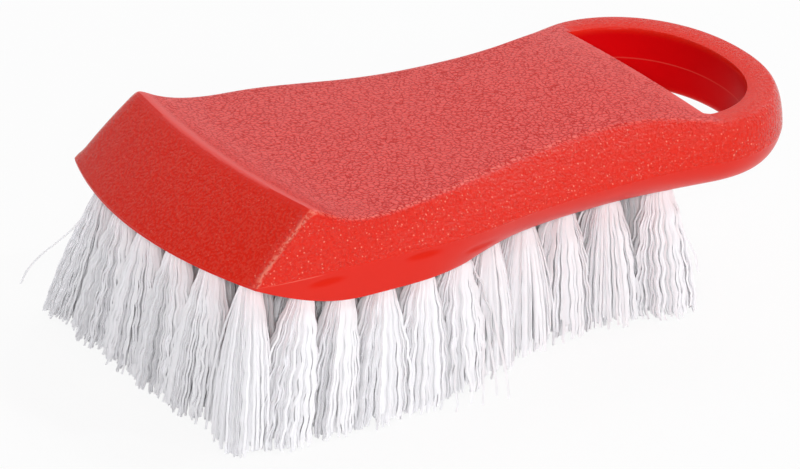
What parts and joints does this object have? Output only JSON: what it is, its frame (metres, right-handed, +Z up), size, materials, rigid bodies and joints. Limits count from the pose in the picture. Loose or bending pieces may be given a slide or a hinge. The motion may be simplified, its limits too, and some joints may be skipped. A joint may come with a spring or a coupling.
{
  "type": "cutting board brush",
  "caption": "Hand brush for cutting boards: waisted moulded block with sloping nose and D-shaped hanging loop, crimped bristle tufts below.",
  "frame": {"origin": "middle of the bounding box, on the plane that the bristle tips stand on", "axes": "+X along the brush from the nose to the hanging loop, +Y across it, +Z up out of the bristle side"},
  "size_m": [0.1624, 0.0932, 0.0531],
  "materials": {
    "block_plastic": "moulded polypropylene, leather-grained top, finer grain on nose and sides, smooth glossy lower band",
    "bristle": "white crimped filament, slightly translucent"
  },
  "bodies": {
    "root": {"block_handle": "block_plastic", "tuft_01_1": "bristle", "tuft_01_2": "bristle", "tuft_01_3": "bristle", "tuft_01_4": "bristle", "tuft_01_5": "bristle", "tuft_01_6": "bristle", "tuft_02_1": "bristle", "tuft_02_2": "bristle", "tuft_02_3": "bristle", "tuft_02_4": "bristle", "tuft_02_5": "bristle", "tuft_02_6": "bristle", "tuft_03_1": "bristle", "tuft_03_2": "bristle", "tuft_03_3": "bristle", "tuft_03_4": "bristle", "tuft_03_5": "bristle", "tuft_03_6": "bristle", "tuft_04_1": "bristle", "tuft_04_2": "bristle", "tuft_04_3": "bristle", "tuft_04_4": "bristle", "tuft_04_5": "bristle", "tuft_04_6": "bristle", "tuft_05_1": "bristle", "tuft_05_2": "bristle", "tuft_05_3": "bristle", "tuft_05_4": "bristle", "tuft_05_5": "bristle", "tuft_05_6": "bristle", "tuft_06_1": "bristle", "tuft_06_2": "bristle", "tuft_06_3": "bristle", "tuft_06_4": "bristle", "tuft_06_5": "bristle", "tuft_06_6": "bristle", "tuft_07_1": "bristle", "tuft_07_2": "bristle", "tuft_07_3": "bristle", "tuft_07_4": "bristle", "tuft_07_5": "bristle", "tuft_08_1": "bristle", "tuft_08_2": "bristle", "tuft_08_3": "bristle", "tuft_08_4": "bristle", "tuft_09_1": "bristle", "tuft_09_2": "bristle", "tuft_09_3": "bristle", "tuft_09_4": "bristle", "tuft_10_1": "bristle", "tuft_10_2": "bristle", "tuft_10_3": "bristle", "tuft_10_4": "bristle", "tuft_11_1": "bristle", "tuft_11_2": "bristle", "tuft_11_3": "bristle", "tuft_11_4": "bristle", "tuft_11_5": "bristle"}
  },
  "joints": []
}
